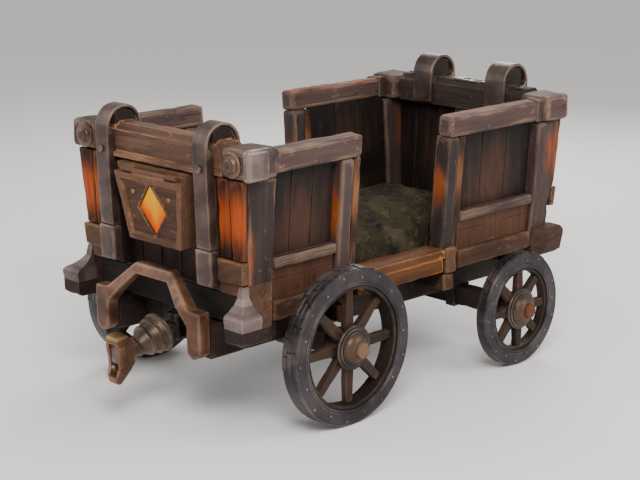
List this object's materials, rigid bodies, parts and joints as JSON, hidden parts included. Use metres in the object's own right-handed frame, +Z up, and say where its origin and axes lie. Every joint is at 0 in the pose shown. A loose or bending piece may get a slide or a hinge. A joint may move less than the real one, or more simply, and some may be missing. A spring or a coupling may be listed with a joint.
{
  "type": "mine cart",
  "caption": "Four-wheeled timber mine cart with leaning walls, side doorways, spoked wheels, a swivelling drawbar, a front lamp box and a covered load.",
  "frame": {"origin": "on the ground under the middle of the bounding box", "axes": "+Y towards the rear, -Y towards the drawbar and the lamp, +Z up, +X to the right-hand side seen from behind"},
  "size_m": [1.34, 2.1362, 1.1948],
  "materials": {
    "timber_dark": "weathered",
    "timber_grey": "weathered",
    "timber_amber": "oiled",
    "timber_copper": "worn",
    "timber_lamp": "varnished",
    "iron_copper": "rusted",
    "iron_dark": "forged",
    "steel_bright": "worn",
    "brass_cap": "worn",
    "glass_amber": "clear",
    "canvas": "waxed",
    "tyre_iron": "forged",
    "wheel_wood": "weathered",
    "hub_wood": "worn"
  },
  "bodies": {
    "cart": {"longerons": "timber_dark", "cross_members": "timber_dark", "floor_boards": "timber_dark", "headstocks": "timber_dark", "end_sills": "timber_dark", "front_axle": "iron_dark", "rear_axle": "iron_dark", "front_axle_beam": "timber_dark", "rear_axle_beam": "timber_dark", "rear_bolster": "timber_dark", "axle_straps": "iron_dark", "draw_socket": "iron_dark", "king_pin": "iron_dark", "bow_bracket": "iron_copper", "end_boards": "timber_dark", "amber_boards": "timber_amber", "end_beams": "timber_copper", "plinths": "timber_dark", "strap_battens": "timber_dark", "strap_sockets": "iron_dark", "hoops": "iron_dark", "corner_posts": "timber_grey", "corner_caps": "timber_grey", "corner_shoes": "steel_bright", "side_top_rails": "timber_grey", "door_posts": "timber_grey", "side_mid_rails": "timber_grey", "side_panels": "timber_dark", "side_sills": "timber_dark", "thresholds": "timber_amber", "post_shoes": "iron_dark", "rear_centre_post": "timber_grey", "lamp_case": "timber_lamp", "lamp_burner": "brass_cap", "canvas_load": "canvas", "bolts": "iron_dark"},
    "front_left_wheel": {"front_left_tyre": "tyre_iron", "front_left_felloe": "wheel_wood", "front_left_spokes": "wheel_wood", "front_left_hub": "hub_wood"},
    "front_right_wheel": {"front_right_tyre": "tyre_iron", "front_right_felloe": "wheel_wood", "front_right_spokes": "wheel_wood", "front_right_hub": "hub_wood"},
    "rear_left_wheel": {"rear_left_tyre": "tyre_iron", "rear_left_felloe": "wheel_wood", "rear_left_spokes": "wheel_wood", "rear_left_hub": "hub_wood"},
    "rear_right_wheel": {"rear_right_tyre": "tyre_iron", "rear_right_felloe": "wheel_wood", "rear_right_spokes": "wheel_wood", "rear_right_hub": "hub_wood"},
    "knuckle": {"draw_knuckle": "iron_dark"},
    "drawbar": {"draw_sleeve": "iron_dark", "pitch_pin": "iron_dark", "coupler_head": "iron_dark", "coupler_lip": "brass_cap"},
    "tongue": {"coupler_tongue": "steel_bright"},
    "lamp_door": {"lamp_door": "timber_lamp", "lamp_glass": "glass_amber"}
  },
  "joints": [
    {"name": "front_left_wheel_spin", "type": "hinge", "parent": "cart", "child": "front_left_wheel", "pos_m": [-0.579, -0.40604, 0.302], "axis": [1, 0, 0], "continuous": true},
    {"name": "front_right_wheel_spin", "type": "hinge", "parent": "cart", "child": "front_right_wheel", "pos_m": [0.579, -0.40604, 0.302], "axis": [1, 0, 0], "continuous": true},
    {"name": "rear_left_wheel_spin", "type": "hinge", "parent": "cart", "child": "rear_left_wheel", "pos_m": [-0.593, 0.60296, 0.239], "axis": [1, 0, 0], "continuous": true},
    {"name": "rear_right_wheel_spin", "type": "hinge", "parent": "cart", "child": "rear_right_wheel", "pos_m": [0.593, 0.60296, 0.239], "axis": [1, 0, 0], "continuous": true},
    {"name": "drawbar_yaw", "type": "hinge", "parent": "cart", "child": "knuckle", "pos_m": [0, -0.75204, 0.333], "axis": [0, 0, 1], "range_deg": [-28, 28]},
    {"name": "drawbar_pitch", "type": "hinge", "parent": "knuckle", "child": "drawbar", "pos_m": [0, -0.80604, 0.333], "axis": [-1, 0, 0], "range_deg": [0, 25]},
    {"name": "coupler_tongue_swing", "type": "hinge", "parent": "drawbar", "child": "tongue", "pos_m": [0, -1.04107, 0.31339], "axis": [1, 0, 0], "range_deg": [0, 18]},
    {"name": "lamp_door_hinge", "type": "hinge", "parent": "cart", "child": "lamp_door", "pos_m": [0, -0.86714, 0.9433], "axis": [-1, 0, 0], "range_deg": [0, 100]}
  ]
}
